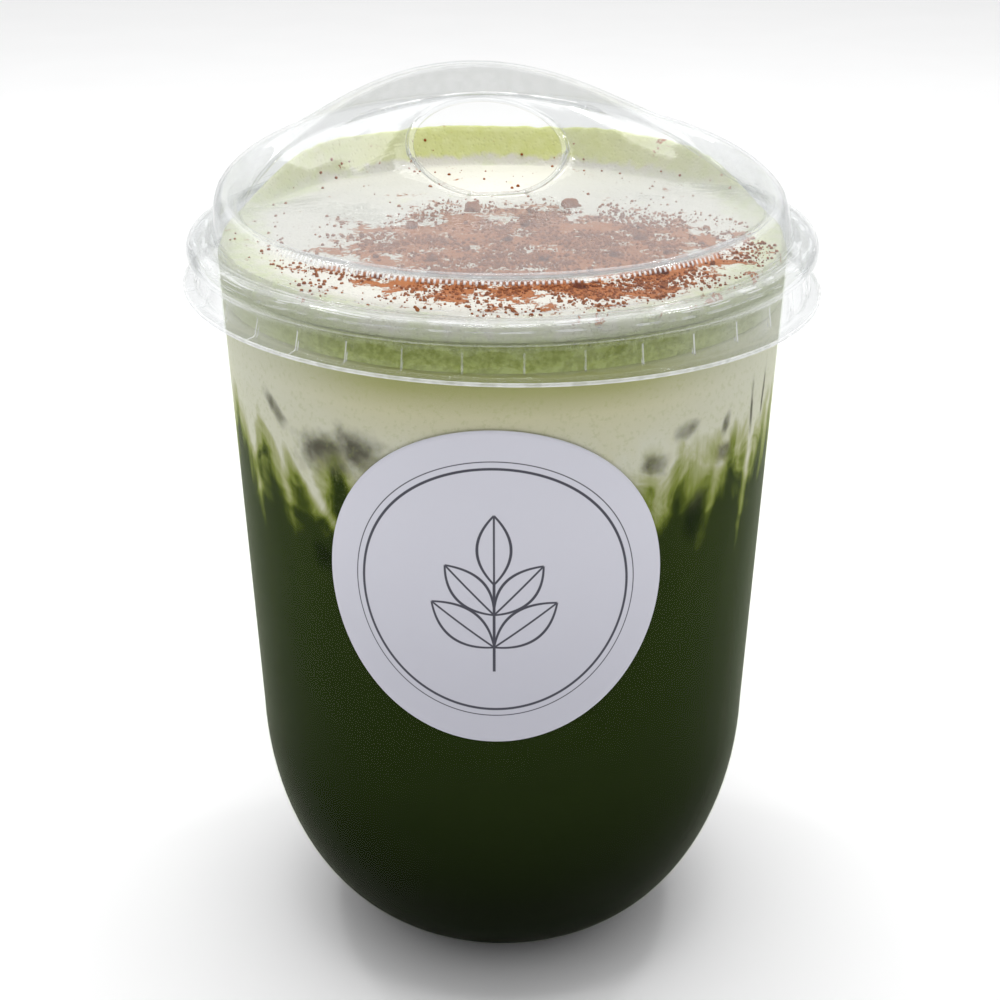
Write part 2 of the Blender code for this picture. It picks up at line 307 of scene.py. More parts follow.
def skin(name, rings, start=None, end=None):
    """Join rings into a mesh object. A start or end point closes that end."""
    columns = len(rings[0])
    points = [tuple(p) for one in rings for p in one]
    faces = []
    for row in range(len(rings) - 1):
        low, high = row * columns, (row + 1) * columns
        for i in range(columns):
            j = (i + 1) % columns
            faces.append((low + j, low + i, high + i, high + j))
    if start is not None:
        points.append(tuple(start))
        faces += [(len(points) - 1, i, (i + 1) % columns) for i in range(columns)]
    if end is not None:
        points.append(tuple(end))
        high = (len(rings) - 1) * columns
        faces += [(high + (i + 1) % columns, high + i, len(points) - 1) for i in range(columns)]
    mesh = bpy.data.meshes.new(name)
    mesh.from_pydata([(x * MM, y * MM, z * MM) for x, y, z in points], [], faces)
    mesh.validate()
    mesh.shade_smooth()
    thing = bpy.data.objects.new(name, mesh)
    bpy.context.scene.collection.objects.link(thing)
    return thing


def dress(thing, material, slot, *nodes):
    """Give a finished piece its material and its body, and hide the nodes that it stands for. The slot is not
    used.
    """
    thing.data.materials.clear()
    thing.data.materials.append(material)
    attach(thing, "root")
    if nodes:
        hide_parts(*nodes)
    print(thing.name, "faces:", len(thing.data.polygons))


# %% [markdown]
# ## Clear plastic
#
# The cup and lid are pressed from sheet half a millimetre thick. A sheet that thin hardly bends what is
# behind it, so it needs no refraction. A Transparent shader and a Glossy one, mixed by Fresnel, give a clear
# wall that turns pale where it is seen at a low angle, as the flat of the lid is here. The Fresnel node turns
# its index over on the far face of the sheet, which would make a mirror there, so the index is turned back.
# The cup gets a low index and a weak shine, because the drink wets its inner face and takes most of its shine
# away. What is left is faintly green, from the tea behind it. The lid gets two things more: a faint bump for
# the ripples that pressing leaves, and painted highlights, a rule by place that mixes in flat white where the
# raised ring, the bead, the flange edge and the flute lines would catch the light.

# %% Make the clear plastic
FLUTES = 36
FLUTE_PHASE = FLUTES / 2 * math.radians(6.5)


def clear_plastic(name, tint, edge_tint, index, shine, shine_colour=(1, 1, 1), ripple=0.0, painted_highlights=None):
    """Thin clear plastic. The optional rule gives the share of flat painted white highlight from the point on
    the sheet.
    """
    made, paint = new_material(name)
    leaving = paint.node("ShaderNodeNewGeometry", output="Backfacing")
    both_ways = index + leaving * (1 / index - index)
    facing = {"IOR": both_ways}
    surface = {"Color": (*shine_colour, 1.0), "Roughness": 0.06}
    if ripple:
        wobble = paint.place().noise(0.35, 2.0).bump(ripple)
        facing["Normal"] = wobble
        surface["Normal"] = wobble
    fresnel = paint.node("ShaderNodeFresnel", facing)
    edge = paint.node("ShaderNodeLayerWeight", {"Blend": 0.22}, output="Facing")
    thin = paint.node("ShaderNodeBsdfTransparent", {"Color": (*tint, 1.0)})
    thick = paint.node("ShaderNodeBsdfTransparent", {"Color": (*edge_tint, 1.0)})
    clear = paint.node("ShaderNodeMixShader", {0: edge, 1: thin, 2: thick})
    gloss = paint.node("ShaderNodeBsdfAnisotropic", surface)
    sheet = paint.node("ShaderNodeMixShader", {0: fresnel * shine, 1: clear, 2: gloss})
    # Painted highlight: flat diffuse white is mixed in where the rule says, standing in for light caught by
    # the lid.
    if painted_highlights:
        painted_white = paint.node("ShaderNodeBsdfDiffuse", {"Color": (0.96, 0.97, 0.98, 1.0)})
        sheet = paint.node("ShaderNodeMixShader", {0: painted_highlights(paint.place()), 1: sheet, 2: painted_white})
    finish_material(paint, sheet)
    return made


def lid_painted_highlights(spot):
    """Painted highlights and reflections in flat white: on the raised ring, the bead, the flange and the
    lines between flutes.
    """
    x, y, z = spot.split()
    reach = spot.math("SQRT", x * x + y * y)
    around = spot.math("ARCTAN2", x, y)
    grain = spot.noise(0.5, 1.0).step(0.35, 0.65, 0.7, 1.0)
    # Painted reflection: a pale band on the top of the raised ring, broken up by noise.
    raised = (reach - 41.5).size().step(0.9, 1.5, 0.20, 0.0) * z.step(124.8, 125.2)
    # Small bright beads of light along the foot of the raised ring, at the front only.
    bead_turn = around * 330.0
    beads = bead_turn.math("SINE", bead_turn).step(-0.2, 0.6)
    beads = beads * (reach - 42.3).size().step(0.15, 0.45, 0.75, 0.0)
    beads = beads * y.step(-26.0, -33.0) * z.step(124.4, 124.8)
    # Painted highlight lines along the bead, the crown and the flange edge.
    bead = (z - 121.1).size().step(0.05, 0.35, 0.22, 0.0) * reach.step(45.2, 45.8)
    crown = (z - 118.1).size().step(0.05, 0.30, 0.22, 0.0) * reach.step(47.4, 48.0)
    rim = reach.step(48.8, 49.15, 0.0, 0.65) * z.step(115.5, 115.0)
    # The line between two flutes is a fold, and a painted highlight is laid along it.
    turn = around * (FLUTES / 2) - FLUTE_PHASE
    fold = turn.math("SINE", turn).size().step(0.02, 0.08, 0.6, 0.0) * x.size().step(8.0, 30.0, 0.35, 1.0)
    fold = fold * z.step(116.9, 116.6) * z.step(113.6, 114.2) * reach.step(46.7, 46.9)
    # Painted highlights: broken level lines of glare in the gutter between the bead and the raised ring.
    wave = z * 8.0 + spot.noise(0.08, 1.0) * 6.0
    creases = wave.math("SINE", wave).step(0.80, 0.97) * spot.noise(0.25, 2.0).step(0.42, 0.58)
    gutter = creases * reach.step(44.0, 44.5) * z.step(119.2, 119.8) * z.step(123.6, 122.8) * 0.45
    return (raised.high(bead).high(crown) * grain).high(beads).high(rim * grain).high(fold).high(gutter)


cup_plastic = clear_plastic("clear_cup_plastic", (0.988, 0.990, 0.988), (0.95, 0.955, 0.95), 1.2, 0.26,
                            shine_colour=(0.94, 1.0, 0.80))
lid_plastic = clear_plastic("clear_lid_plastic", (0.972, 0.975, 0.976), (0.74, 0.755, 0.758), 1.43, 1.0,
                            ripple=0.00007, painted_highlights=lid_painted_highlights)

# %% [markdown]
# ## Cup
#
# The cup is a straight, slightly flared wall on a bottom that is rounded like a bowl. The bottom's section is
# a quarter of an ellipse. It ends in a narrow flat ring round a shallow hollow. The lip is rolled outwards.
# One line goes up the outside, round the lip and down the inside, and is turned about the axis.

# %% Make the cup
CUP_WALL = 0.5
BOWL_HEIGHT = 40.0
BASE_RADIUS = 16.0
LOW_RADIUS = 41.25
NECK_RADIUS = 43.85
NECK_Z = 115.0
LIP_RADIUS, LIP_Z, LIP_ROLL = 45.6, 118.9, 1.35


def bowl_radius(z):
    """Outer radius of the cup's wall."""
    low = BASE_RADIUS + (LOW_RADIUS - BASE_RADIUS) * np.sqrt(np.clip(1 - (1 - z / BOWL_HEIGHT) ** 2, 0, 1))
    high = LOW_RADIUS + (NECK_RADIUS - LOW_RADIUS) * (z - BOWL_HEIGHT) / (NECK_Z - BOWL_HEIGHT)
    return np.where(z < BOWL_HEIGHT, low, high)


def wall_line(inset, top, floor_lift=0.0):
    """Section of the wall from the hollow in the base up to a height, moved inwards by inset."""
    line = [(6.0, 1.6), (12.0, 1.6), (13.2, 1.45), (14.4, 0.8), (15.4, 0.15), (16.1, 0.0), (18.2, 0.0)]
    for t in np.linspace(0.12, math.pi / 2, 26):
        line.append((BASE_RADIUS + (LOW_RADIUS - BASE_RADIUS) * math.sin(t), BOWL_HEIGHT * (1 - math.cos(t))))
    for z in np.arange(BOWL_HEIGHT + 3, top - 0.5, 3.0):
        line.append((float(bowl_radius(z)), float(z)))
    line.append((float(bowl_radius(top)), top))
    moved = []
    for i, (r, z) in enumerate(line):
        before, after = line[max(i - 1, 0)], line[min(i + 1, len(line) - 1)]
        dr, dz = after[0] - before[0], after[1] - before[1]
        length = math.hypot(dr, dz)
        moved.append((r - dz / length * inset, z + dr / length * inset))
    return moved


cup_turns = turns(224)
lip = []
for degrees in (-100, -70, -40, -10, 20, 50, 80, 110, 140, 175):
    turn = math.radians(degrees)
    lip.append((LIP_RADIUS + LIP_ROLL * math.cos(turn), LIP_Z + LIP_ROLL * math.sin(turn)))
neck = [(44.0, 116.2), (44.55, 117.1)]
section = wall_line(0.0, NECK_Z) + neck + lip + wall_line(CUP_WALL, NECK_Z)[::-1]
cup = skin("clear_cup", [ring(cup_turns, r, z) for r, z in section], (0, 0, 1.6), (0, 0, 1.6 + CUP_WALL))
dress(cup, cup_plastic, "clear_cup", "cup")

# %% [markdown]
# ## Lid
#
# The lid is one pressed sheet: a hanging skirt with shallow flutes, a bead over the cup's lip, a raised ring
# that climbs towards the back, and a crest there with the mouth hole in its slope. Rings are a good way to
# draw it, because every edge of the lid goes once round. Each ring is a rule for radius and height by angle,
# and the last rings shrink to the mouth hole. Solidify then gives the sheet its thickness.

# %% Rules of the lid's rings
LID_TURN = math.radians(9.0)
FLANGE_Z = 113.3
SKIRT_SKEW = 0.9
PLATE_Z = 124.7
RING_INNER_RADIUS = 40.4
CREST_HALF_WIDTH = math.radians(89)
HOLE_RADIUS, HOLE_Y, HOLE_LOW_Y = 11.9, 15.05, 4.2
HOLE_SLOPE = math.radians(25)
RAMP_FOOT_Y = 4.2

a = turns(FLUTES * 9)
back = np.cos(a + LID_TURN)
away = np.abs((a + LID_TURN + math.pi) % (2 * math.pi) - math.pi)
crest = np.where(away > CREST_HALF_WIDTH, 0.0, 0.5 + 0.5 * np.cos(math.pi * away / CREST_HALF_WIDTH))
shoulder_z = 125.3 + 1.35 * (back + 1) + 4.9 * (np.hypot(back, 0.17) + back) / 2
shoulder_r = mix(42.6, 43.9, smoothstep(-0.9, 0.2, back))
ridge_z = PLATE_Z + 0.3 + 13.7 * crest
ridge_r = mix(RING_INNER_RADIUS, 39.6, crest)
crease_z = PLATE_Z + 10.6 * (0.4 * crest + 0.6 * np.sin(math.pi / 2 * crest))
crease_r = mix(39.4, 28.0, smoothstep(0.2, 0.95, crest))
drop = -SKIRT_SKEW * np.sin(a)
flute = 0.42 * np.abs(np.sin(a * FLUTES / 2 - FLUTE_PHASE)) ** 0.8


def plate_z(x, y):
    """Height of the lid's flat and of the ramps beside the mouth hole, in the lid's own turned plan."""
    crease_y = np.maximum(RAMP_FOOT_Y + 1.0, crease_r * back)
    climb = np.clip((y - RAMP_FOOT_Y) / (crease_y - RAMP_FOOT_Y), 0.0, 1.0)
    ramp = PLATE_Z + climb * (crease_z - PLATE_Z)
    near_hole = smoothstep(27.0, 12.5, np.hypot(x, (y - HOLE_Y) / math.cos(HOLE_SLOPE)))
    return mix(ramp, pad_z(y), near_hole)


def pad_z(y):
    """Height of the sloping plane that the mouth hole is cut in."""
    return PLATE_Z + np.maximum(0.0, math.tan(HOLE_SLOPE) * (y - HOLE_LOW_Y))


def turned(x, y, z):
    """From the lid's own plan to the object's."""
    c, s = math.cos(LID_TURN), math.sin(LID_TURN)
    return np.stack([x * c - y * s, x * s + y * c, np.broadcast_to(z, x.shape)], axis=1)


# %% Make the lid
lid_rings = [
    ring(a, 49.3, FLANGE_Z + drop),
    ring(a, 48.4, FLANGE_Z + 0.1 + drop),
    ring(a, 47.6 + flute * 0.3, FLANGE_Z + 0.3 + drop),
    ring(a, 47.3 + flute, FLANGE_Z + 1.1 + drop),
    ring(a, 46.9 + flute, 116.5),
    ring(a, 47.05 + flute * 0.3, 117.2),
    ring(a, 47.6, 117.7),
    ring(a, 48.45, 118.5),
    ring(a, 48.55, 119.6),
    ring(a, 47.95, 120.8),
    ring(a, 46.6, 121.35),
    ring(a, 45.3, 121.05),
    ring(a, 44.7, 121.2),
    ring(a, 44.4, 122.0),
    ring(a, shoulder_r + 0.15, shoulder_z - 1.6),
    ring(a, shoulder_r - 0.5, shoulder_z - 0.4),
    ring(a, shoulder_r - 1.5, shoulder_z),
    ring(a, mix(41.2, 40.9, crest), mix(shoulder_z, ridge_z, 0.62) + 0.35),
    ring(a, ridge_r, ridge_z),
    ring(a, ridge_r - 0.5 - 1.4 * crest, mix(PLATE_Z, ridge_z - 0.7, smoothstep(0.0, 0.12, crest))),
    ring(a, crease_r, crease_z),
]
out_x, out_y = np.sin(a + LID_TURN), np.cos(a + LID_TURN)
for share in (0.85, 0.6, 0.3, 0.0):
    foot = HOLE_RADIUS + 1.5
    plan_x = mix(foot * out_x, crease_r * out_x, share)
    plan_y = mix(HOLE_Y + foot * math.cos(HOLE_SLOPE) * out_y, crease_r * out_y, share)
    lid_rings.append(turned(plan_x, plan_y, plate_z(plan_x, plan_y)))
for radius, lift in ((HOLE_RADIUS + 0.9, 0.0), (HOLE_RADIUS + 0.4, 0.08), (HOLE_RADIUS, 0.02)):
    plan_y = HOLE_Y + radius * math.cos(HOLE_SLOPE) * out_y
    lid_rings.append(turned(radius * out_x, plan_y, pad_z(plan_y) + lift))

lid = skin("clear_lid", smooth_rings(lid_rings, 3))
sheet = lid.modifiers.new("sheet", "SOLIDIFY")
sheet.thickness = 0.45 * MM
sheet.offset = -1.0
dress(lid, lid_plastic, "clear_lid", "lid")

# %% [markdown]
# ## Tea and milk
#
# Cold milk was poured over strong green tea, so the line between them is a curtain of soft streaks. Modelling
# two liquids would give a hard line. Here one body fills the cup as far as the foam and its colour depends on
# a level: the height above the table, moved up and down by noise that is stretched along the wall. Tongues
# of milk that plunge into the tea, and tufts of tea that rise between them, move the level too. Each plunge
# has a place round the cup in degrees from the front, a half width and a depth in millimetres, and a lean. A
# depth below zero is a tuft of tea. The front is matched to the picture, and the back is drawn at random.

# %% Colours of the drink
MM_PER_DEGREE = math.pi / 180 * 42.5  # along the wall, which is 42.5 mm from the axis there
LEVEL_TOP = 124.0
PLUNGES = [
    (-71, 2.6, -6.0, 0.0), (-60, 1.8, 6.0, 0.12), (-53, 2.2, -4.5, 0.2), (-48, 1.8, 4.0, 0.15),
    (-43, 3.0, -2.5, 0.3), (-37, 2.3, 6.0, 0.75), (-32, 2.6, -5.0, 0.2), (31, 2.2, 3.0, -0.2),
    (36, 2.0, -3.5, 0.0), (46, 2.2, 4.0, -0.3), (52, 1.5, -3.0, 0.0), (59, 1.7, 6.5, -0.1),
    (66, 2.0, -4.0, -0.2), (74, 2.4, -6.0, 0.0),
]
draw = random.Random(8)
for number in range(12):
    PLUNGES.append((90 + number * 16.5, draw.uniform(1.6, 3.4), draw.uniform(-5, 6), draw.uniform(-0.4, 0.4)))

drink_paint, paint = new_material("tea_and_milk")
spot = paint.place()
x, y, z = spot.split()
around = paint.math("ARCTAN2", x, y * -1.0) * (180 / math.pi)
stretched = paint.vector(x, y, z * 0.13)
broad = stretched.noise(0.055, 1.0)
streaks = stretched.noise(0.34, 4.0, 0.6)
curls = spot.noise(0.13, 3.0, 0.55, 1.2)
loose = z.step(94.0, 106.0, 1.0, 0.0) * z.step(62.0, 76.0)
level = z + ((broad - 0.5) * 12 + (streaks - 0.5) * 9 + (curls - 0.5) * 18) * loose
for degrees, half_width, depth, lean in PLUNGES:
    degrees -= 360 if degrees > 180 else 0
    apart = ((around - degrees) * MM_PER_DEGREE + (z - 88.0) * lean).size()
    level = level + apart.step(0.0, half_width, depth, 0.0) * loose
layers = level.node("ShaderNodeMapRange", {"Value": level, "From Min": 0.0, "From Max": LEVEL_TOP})
drink_stops = [  # level as a share of its top, and colour
    # The lowest stops are painted shade: the tea darkens towards the bottom of the cup, where the contact
    # shadow falls.
    (0.00, (0.0008, 0.0012, 0.0004)),
    (0.16, (0.003, 0.005, 0.0012)),
    (0.34, (0.013, 0.0215, 0.0045)),
    (0.55, (0.021, 0.034, 0.0070)),
    (0.690, (0.026, 0.040, 0.0085)),
    (0.714, (0.075, 0.10, 0.014)),
    (0.737, (0.22, 0.26, 0.055)),
    (0.768, (0.43, 0.44, 0.24)),
    (0.800, (0.66, 0.66, 0.535)),
    (0.855, (0.62, 0.60, 0.40)),
    (0.885, (0.42, 0.42, 0.19)),
    (0.92, (0.27, 0.31, 0.075)),
]
drink_colour = layers.node("ShaderNodeValToRGB", {0: layers}, stops=drink_stops)
# Painted light: the milk is painted paler towards the left and right edges, where the white room lights the
# cup's sides and reflects in them.
painted_side_light = x.size().step(14.0, 40.0) * level.step(98.0, 104.0)
drink_colour = (painted_side_light * 0.8).blend(drink_colour, (0.66, 0.665, 0.56))

# %% [markdown]
# Ice that touches the wall shows as soft dark panes in the milk: soft-edged boxes laid on the wall. Each one
# has a place round the cup in degrees from the front, a height, a half width and a half height in
# millimetres, and a tilt in degrees. Again only the back is random.

# %% Ice against the wall
ICE_PANES = [
    (-50, 101.6, 2.8, 1.1, -42), (-36, 97.4, 5.4, 3.0, 8), (-28, 98.8, 4.4, 3.2, -6),
    (37, 100.7, 2.2, 1.3, 5), (30, 96.6, 2.2, 1.6, -12), (49, 99.5, 0.8, 2.2, -20),
    (49, 94.6, 1.8, 1.7, 0), (59, 99.0, 0.45, 4.0, 4), (65, 100.5, 0.45, 4.2, -4),
    (41, 86.0, 1.7, 3.6, -18), (-38, 80.4, 2.4, 2.4, 10),
]
draw = random.Random(5)
for number in range(11):
    ICE_PANES.append((88 + number * 17.5, draw.uniform(90, 104), draw.uniform(1, 5), draw.uniform(1.2, 3.2),
                      draw.uniform(-30, 30)))
edge_wobble = (spot.noise(0.4, 3.0) - 0.5) * 1.3
panes = None
for degrees, height, half_width, half_height, tilt in ICE_PANES:
    degrees -= 360 if degrees > 180 else 0
    apart = (around - degrees) * MM_PER_DEGREE
    up = z - height
    c, s = math.cos(math.radians(tilt)), math.sin(math.radians(tilt))
    u = (apart * c + up * s) / half_width
    v = (up * c - apart * s) / half_height
    rounded = paint.math("SQRT", u * u + v * v)
    boxy = u.size().high(v.size())
    pane = (rounded * 0.6 + boxy * 0.4 + edge_wobble).step(0.25, 1.45, 1.0, 0.0)
    panes = pane if panes is None else panes.high(pane)
ice_depth = spot.noise(0.26, 2.0).step(0.3, 0.65, 0.55, 1.0)
ice_colour = z.step(86.0, 92.0).blend((0.010, 0.016, 0.005), (0.115, 0.11, 0.080))
drink_colour = (panes * ice_depth).blend(drink_colour, ice_colour)
speckle = spot.noise(1.1, 3.0, 0.7).step(0.52, 0.66, 0.0, 0.22) * z.step(86.0, 96.0)
drink_colour = speckle.blend(drink_colour, (0.36, 0.40, 0.14))
drink_shader = principled(paint, Base_Color=drink_colour, Roughness=0.4, IOR=1.33, Specular_IOR_Level=0.0)
finish_material(paint, drink_shader)

# %% Make the body of the drink
DRINK_INSET = 0.2
FOAM_FOOT_Z = 112.6
drink_line = wall_line(DRINK_INSET, FOAM_FOOT_Z)
drink = skin("tea_and_milk", [ring(cup_turns, r, z) for r, z in drink_line], (0, 0, 1.8), (0, 0, FOAM_FOOT_Z))
dress(drink, drink_paint, "matcha_tea", "matcha", "milk")

# %% [markdown]
# ## Cream foam
#
# The foam is thick cream with a skin of fine bubbles. It lies nearly flat, and at the back a bank of green
# froth climbs the lid's wall. The top is a fine polar grid whose height adds a crown, gentle waves, the bank
# and small bubbles, all from noise with no seed left open.

# %% Shape of the foam
FOAM_TOP_Z = 120.4
foam_turns = turns(360)


def foam_height(x, y):
    """Height of the foam over a point, in millimetres."""
    reach = math.hypot(x, y)
    toward_back = y / max(reach, 1.0)
    bank = float(smoothstep(40.4, 42.9, reach) * smoothstep(0.15, 0.8, toward_back))
    soft = 0.25 * math.sin(x * 0.17 + 1.0) * math.cos(y * 0.21)
    waves = noise.noise(Vector((x * 0.35, y * 0.35, 0.0)))
    pimples = noise.noise(Vector((x * 1.3, y * 1.3, 7.0)))
    fine = 0.10 * waves + 0.05 * pimples
    froth = 0.35 * bank * noise.noise(Vector((x * 0.4, y * 0.4, 3.0)))
    return FOAM_TOP_Z + 0.6 * (1 - (reach / 43.0) ** 2) + 6.4 * bank + soft + fine + froth


foam_rings = []
for z_side in (FOAM_FOOT_Z, 114.5, 116.5, 118.4):
    foam_rings.append(ring(foam_turns, bowl_radius(z_side) - DRINK_INSET, z_side))
foam_rings.append(ring(foam_turns, 43.3, 119.4))
for radius in np.concatenate([np.linspace(43.0, 38.0, 14), np.linspace(37.4, 1.2, 56)]):
    flat = ring(foam_turns, radius, 0.0)
    flat[:, 2] = [foam_height(px, py) for px, py, _ in flat]
    foam_rings.append(flat)
foam = skin("cream_foam", foam_rings, (0, 0, FOAM_FOOT_Z), (0, 0, foam_height(0.0, 0.0)))

# %% [markdown]
# ### Colours of the foam
#
# Cream white in the middle, a ragged pale green fringe where froth meets the wall, a yellow-green bank at the
# back that pales to its sides, and a pea-green band where the foam is seen through the side of the cup. The
# finest cocoa is a stain, not grains: a mask by place times layered noise. The same centre and half sizes of
# the dusted patch are used again for the grains.

# %% Paint the foam
PATCH_CENTRE = (5.0, -14.5)
PATCH_HALF = (39.0, 31.0)

foam_paint, paint = new_material("cream_foam")
spot = paint.place()
x, y, z = spot.split()
reach = paint.math("SQRT", x * x + y * y)
ragged = (spot.noise(0.16, 4.0, 0.65) - 0.5) * 12 + (spot.noise(0.9, 2.0) - 0.5) * 3
fringe = (reach + ragged + x.size().step(15.0, 42.0, -3.0, 2.5)).step(37.5, 43.0)
fringe = fringe * (spot.noise(0.5, 3.0, 0.6).step(0.3, 0.7, 0.45, 1.0))
cream = spot.noise(0.25, 3.0).blend((0.79, 0.77, 0.69), (0.83, 0.81, 0.74))
colour = (fringe * 0.72).blend(cream, (0.66, 0.73, 0.42))
bank_mask = (z + (spot.noise(0.45, 3.0) - 0.5) * 3.2).step(121.3, 122.5)
bank_mask = bank_mask * x.size().step(15.0, 33.0, 0.90, 0.18)
bank_colour = spot.noise(0.6, 3.0).blend((0.68, 0.73, 0.20), (0.86, 0.90, 0.48))
colour = bank_mask.blend(colour, bank_colour)
side_mask = z.step(116.2, 118.4, 1.0, 0.0)
band = spot.noise(0.9, 3.0, 0.7).step(0.35, 0.65).blend((0.23, 0.275, 0.045), (0.35, 0.405, 0.11))
band = x.size().step(16.0, 42.0, 0.0, 0.75).blend(band, (0.60, 0.62, 0.46))
colour = side_mask.blend(colour, band)

patch_u = (x - PATCH_CENTRE[0]) / PATCH_HALF[0]
patch_v = (y - PATCH_CENTRE[1]) / PATCH_HALF[1]
inside = paint.math("SQRT", patch_u * patch_u + patch_v * patch_v)
density = inside.step(0.50, 1.12, 0.66, 0.13)
clumps = (spot.noise(0.20, 4.0, 0.6) - 0.5) * 1.7 + (spot.noise(1.1, 3.0, 0.7) - 0.5) * 1.0 + 0.5
dust = (clumps + density).step(0.98, 1.05)
cocoa = spot.noise(1.2, 2.0).blend((0.36, 0.097, 0.017), (0.53, 0.185, 0.042))
colour = (dust * z.step(118.6, 119.2)).blend(colour, cocoa)
bubbles = spot.cells(1.3).step(0.0, 0.5) * 0.6 + spot.noise(2.5, 3.0) * 0.4 + dust * 0.8
foam_shader = principled(paint, Base_Color=colour, Roughness=0.5, IOR=1.36, Specular_IOR_Level=0.35,
                         Normal=bubbles.bump(0.00012))
finish_material(paint, foam_shader)
dress(foam, foam_paint, "cream_foam", "foam")

# %% [markdown]
# ## Cocoa
#
# Sifted cocoa falls as fine grains and a few soft lumps. Geometry Nodes scatter both: the grains over a copy
# of the foam's dusted part, thinning out to its edge by an attribute, and the lumps on points that the CAD
# model also uses. Each copy gets its own size and turn, and all are realized, so that they export as plain
# mesh.

# %% Cocoa material
cocoa_paint, paint = new_material("cocoa")
spot = paint.place()
cocoa_colour = spot.noise(0.5, 3.0).step(0.3, 0.7).blend((0.28, 0.072, 0.014), (0.44, 0.145, 0.034))
crumb = spot.noise(3.0, 3.0, 0.7).bump(0.0001)
cocoa_shader = principled(paint, Base_Color=cocoa_colour, Roughness=0.85, Specular_IOR_Level=0.2,
                          Normal=crumb)
finish_material(paint, cocoa_shader)


# %% A tree that scatters grains


def scatter_tree(name, on_faces):
    """Geometry Nodes that put rough little balls on faces or on loose points."""
    tree = bpy.data.node_groups.new(name, "GeometryNodeTree")
    tree.interface.new_socket("Geometry", in_out="INPUT", socket_type="NodeSocketGeometry")
    for label in ("Density", "Smallest", "Largest", "Roughness", "Detail", "Seed"):
        kind = "NodeSocketInt" if label in ("Detail", "Seed") else "NodeSocketFloat"
        tree.interface.new_socket(label, in_out="INPUT", socket_type=kind)
    tree.interface.new_socket("Material", in_out="INPUT", socket_type="NodeSocketMaterial")
    tree.interface.new_socket("Geometry", in_out="OUTPUT", socket_type="NodeSocketGeometry")
    geo = Paint(tree)
    given = tree.nodes.new("NodeGroupInput")
    inlet = {s.name: Paint(tree, s) for s in given.outputs if s.name}
    if on_faces:
        weight = geo.node("GeometryNodeInputNamedAttribute", {"Name": "dust"}, data_type="FLOAT")
        values = {"Mesh": inlet["Geometry"], "Density": weight * inlet["Density"], "Seed": inlet["Seed"]}
        points = geo.node("GeometryNodeDistributePointsOnFaces", values)
    else:
        points = geo.node("GeometryNodeMeshToPoints", {"Mesh": inlet["Geometry"], "Radius": 0.001})
    ball = geo.node("GeometryNodeMeshIcoSphere", {"Radius": 1.0, "Subdivisions": inlet["Detail"]})
    draw_size = geo.node("FunctionNodeRandomValue", {"Seed": inlet["Seed"]}, output=1, data_type="FLOAT")
    share = draw_size.math("POWER", draw_size, 2.2)
    radius = inlet["Smallest"] + (inlet["Largest"] - inlet["Smallest"]) * share
    turn = geo.node("FunctionNodeRandomValue", {"Seed": inlet["Seed"]}, data_type="FLOAT_VECTOR")
    turn.socket.node.inputs["Max"].default_value = (6.28, 6.28, 6.28)
    spread = {"Points": points, "Instance": ball, "Rotation": turn, "Scale": radius}
    placed = geo.node("GeometryNodeInstanceOnPoints", spread)
    real = geo.node("GeometryNodeRealizeInstances", {"Geometry": placed})
    where = geo.node("GeometryNodeInputPosition")
    rough = geo.node("ShaderNodeTexNoise", {"Vector": where, "Scale": 900.0, "Detail": 2.0}, output="Color")
    shift = geo.node("ShaderNodeVectorMath", {0: rough, 1: (0.5, 0.5, 0.5)}, operation="SUBTRACT")
    shift = geo.node("ShaderNodeVectorMath", {0: shift, "Scale": inlet["Roughness"]}, operation="SCALE")
    moved = geo.node("GeometryNodeSetPosition", {"Geometry": real, "Offset": shift})
    done = geo.node("GeometryNodeSetMaterial", {"Geometry": moved, "Material": inlet["Material"]})
    geo.node("NodeGroupOutput", {"Geometry": done})
    return tree


def scatter(name, base, on_faces, **values):
    """Run the scatter tree on a base object and return the result as a plain mesh object."""
    tree = scatter_tree(name, on_faces)
    modifier = base.modifiers.new("scatter", "NODES")
    modifier.node_group = tree
    sockets = {item.name: item.identifier for item in tree.interface.items_tree if item.in_out == "INPUT"}
    for label, value in values.items():
        modifier[sockets[label]] = value
    bpy.context.view_layer.update()
    seen = base.evaluated_get(bpy.context.evaluated_depsgraph_get())
    mesh = bpy.data.meshes.new_from_object(seen)
    mesh.name = name
    mesh.shade_smooth()
    thing = bpy.data.objects.new(name, mesh)
    bpy.context.scene.collection.objects.link(thing)
    bpy.data.objects.remove(base)
    return thing


# %% Sift the grains
patch_radii = np.linspace(42.6, 1.2, 42)
patch = skin("dust_patch", [ring(turns(180), r, 0.0) for r in patch_radii])
for vertex in patch.data.vertices:
    px, py = vertex.co.x / MM, vertex.co.y / MM
    vertex.co.z = (foam_height(px, py) + 0.05) * MM
weights = patch.data.attributes.new("dust", "FLOAT", "POINT")
for vertex in patch.data.vertices:
    px, py = vertex.co.x / MM, vertex.co.y / MM
    across = (px - PATCH_CENTRE[0]) / PATCH_HALF[0]
    along = (py - PATCH_CENTRE[1]) / PATCH_HALF[1]
    away_from_middle = math.hypot(across, along)
    cloud = noise.fractal(Vector((px * 0.16, py * 0.16, 1.7)), 0.7, 2.0, 4)
    thick = float(smoothstep(1.12, 0.5, away_from_middle))
    weights.data[vertex.index].value = thick * float(smoothstep(-0.3, 0.45, cloud + 0.2 * thick)) + 0.006
grains = scatter("cocoa_grains", patch, True, Density=5.0e6, Smallest=0.00006, Largest=0.00036,
                 Roughness=0.00012, Detail=1, Seed=4, Material=cocoa_paint)
dress(grains, cocoa_paint, "cream_foam")

